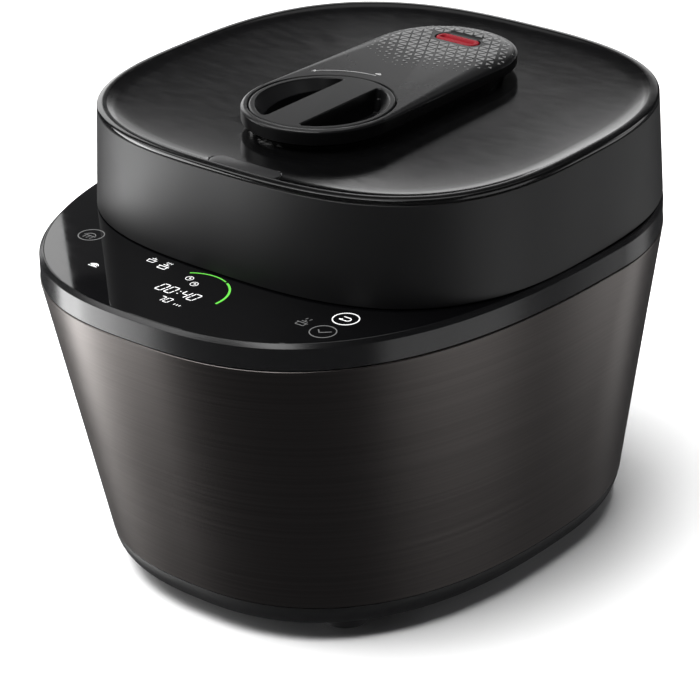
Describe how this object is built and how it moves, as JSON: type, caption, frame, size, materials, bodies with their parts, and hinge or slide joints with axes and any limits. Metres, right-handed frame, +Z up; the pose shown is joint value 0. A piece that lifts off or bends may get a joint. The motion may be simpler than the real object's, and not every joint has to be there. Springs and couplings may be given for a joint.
{
  "type": "electric pressure cooker",
  "caption": "Tapered rounded-square electric pressure cooker with a touch panel, a hinged lid, and a rotary lock knob on a raised pod.",
  "frame": {"origin": "on the ground under the middle of the body's box", "axes": "+Z up, front panel towards -Y, +X to the right of a person who faces the front"},
  "size_m": [0.313, 0.389, 0.2777],
  "materials": {
    "black_plastic": "satin moulded",
    "gloss_black": "polished",
    "gunmetal_steel": "horizontally brushed, dark tinted",
    "steel": "plain",
    "aluminium": "cast",
    "pot_coating": "non-stick",
    "rubber": "matt",
    "silicone": "translucent white",
    "circuit_board": "solder mask",
    "display": "dark filter",
    "red_plastic": "polished",
    "smoked_plastic": "smoked",
    "wire": "sheathed",
    "gear_plastic": "acetal"
  },
  "bodies": {
    "base": {"base_pan": "black_plastic", "feet": "black_plastic", "foot_pads": "rubber", "base_screws": "steel", "steel_wrap": "gunmetal_steel", "deck_frame": "black_plastic", "touch_panel": "gloss_black", "display_module": "display", "control_board": "circuit_board", "touch_springs": "steel", "board_screws": "steel", "heating_well": "aluminium", "locking_flange": "steel", "inner_pot": "pot_coating", "heating_plate": "aluminium", "heating_element": "steel", "plate_posts": "steel", "power_board": "circuit_board", "power_inlet": "black_plastic", "wiring": "wire", "cup_holder": "black_plastic", "hinge_bracket": "steel", "hinge_screws": "steel", "hinge_pin": "steel", "rear_housing": "black_plastic", "hinge_springs": "steel"},
    "lid": {"lid_wall": "black_plastic", "lid_rim": "gloss_black", "lid_panel": "gloss_black", "pod_plinth": "black_plastic", "pod_shell": "black_plastic", "lid_frame": "steel", "lid_screws": "steel", "hinge_arms": "steel", "inner_lid": "steel", "inner_lid_nut": "black_plastic", "sealing_ring": "silicone", "steam_valve": "steel", "button_guide": "black_plastic", "latch_pin": "steel"},
    "lock_knob": {"knob": "black_plastic", "knob_shaft": "steel", "drive_pinion": "gear_plastic"},
    "lock_ring": {"locking_ring": "steel"},
    "button": {"release_button": "black_plastic", "button_spring": "steel"},
    "latch": {"latch_hook": "steel"},
    "indicator": {"pressure_indicator": "red_plastic", "float_pin": "steel"},
    "thermostat": {"thermostat_plunger": "aluminium", "thermostat_spring": "steel"},
    "drip_cup": {"condensate_cup": "smoked_plastic"}
  },
  "joints": [
    {"name": "lid_hinge", "type": "hinge", "parent": "base", "child": "lid", "pos_m": [0, 0.184, 0.2125], "axis": [-1, 0, 0], "range_deg": [0, 85]},
    {"name": "knob_turn", "type": "hinge", "parent": "lid", "child": "lock_knob", "pos_m": [0, -0.0315, 0.27], "axis": [0, 0, 1], "range_deg": [0, 45]},
    {"name": "ring_turn", "type": "hinge", "parent": "lid", "child": "lock_ring", "pos_m": [0, 0.024, 0.218], "axis": [0, 0, 1], "range_deg": [0, 22.5]},
    {"name": "button_press", "type": "slide", "parent": "lid", "child": "button", "axis": [0, 0, -1], "range_m": [0, 0.002], "stiffness_N_per_m": 500, "springref_m": -0.001, "deforming": ["button_spring"]},
    {"name": "latch_swing", "type": "hinge", "parent": "lid", "child": "latch", "pos_m": [0.01, -0.1164, 0.2435], "axis": [-1, 0, 0], "range_deg": [0, 2]},
    {"name": "indicator_rise", "type": "slide", "parent": "lid", "child": "indicator", "axis": [0, 0, 1], "range_m": [0, 0.003]},
    {"name": "thermostat_press", "type": "slide", "parent": "base", "child": "thermostat", "axis": [0, 0, 1], "range_m": [-0.004, 0], "stiffness_N_per_m": 400, "springref_m": 0.003, "deforming": ["thermostat_spring"]},
    {"name": "cup_slide", "type": "slide", "parent": "base", "child": "drip_cup", "axis": [0, 1, 0], "range_m": [0, 0.026]}
  ],
  "couplings": [
    {"joint": "ring_turn", "follows": "knob_turn", "ratio": 0.5},
    {"joint": "latch_swing", "follows": "button_press", "rad_per_m": 17.4}
  ]
}
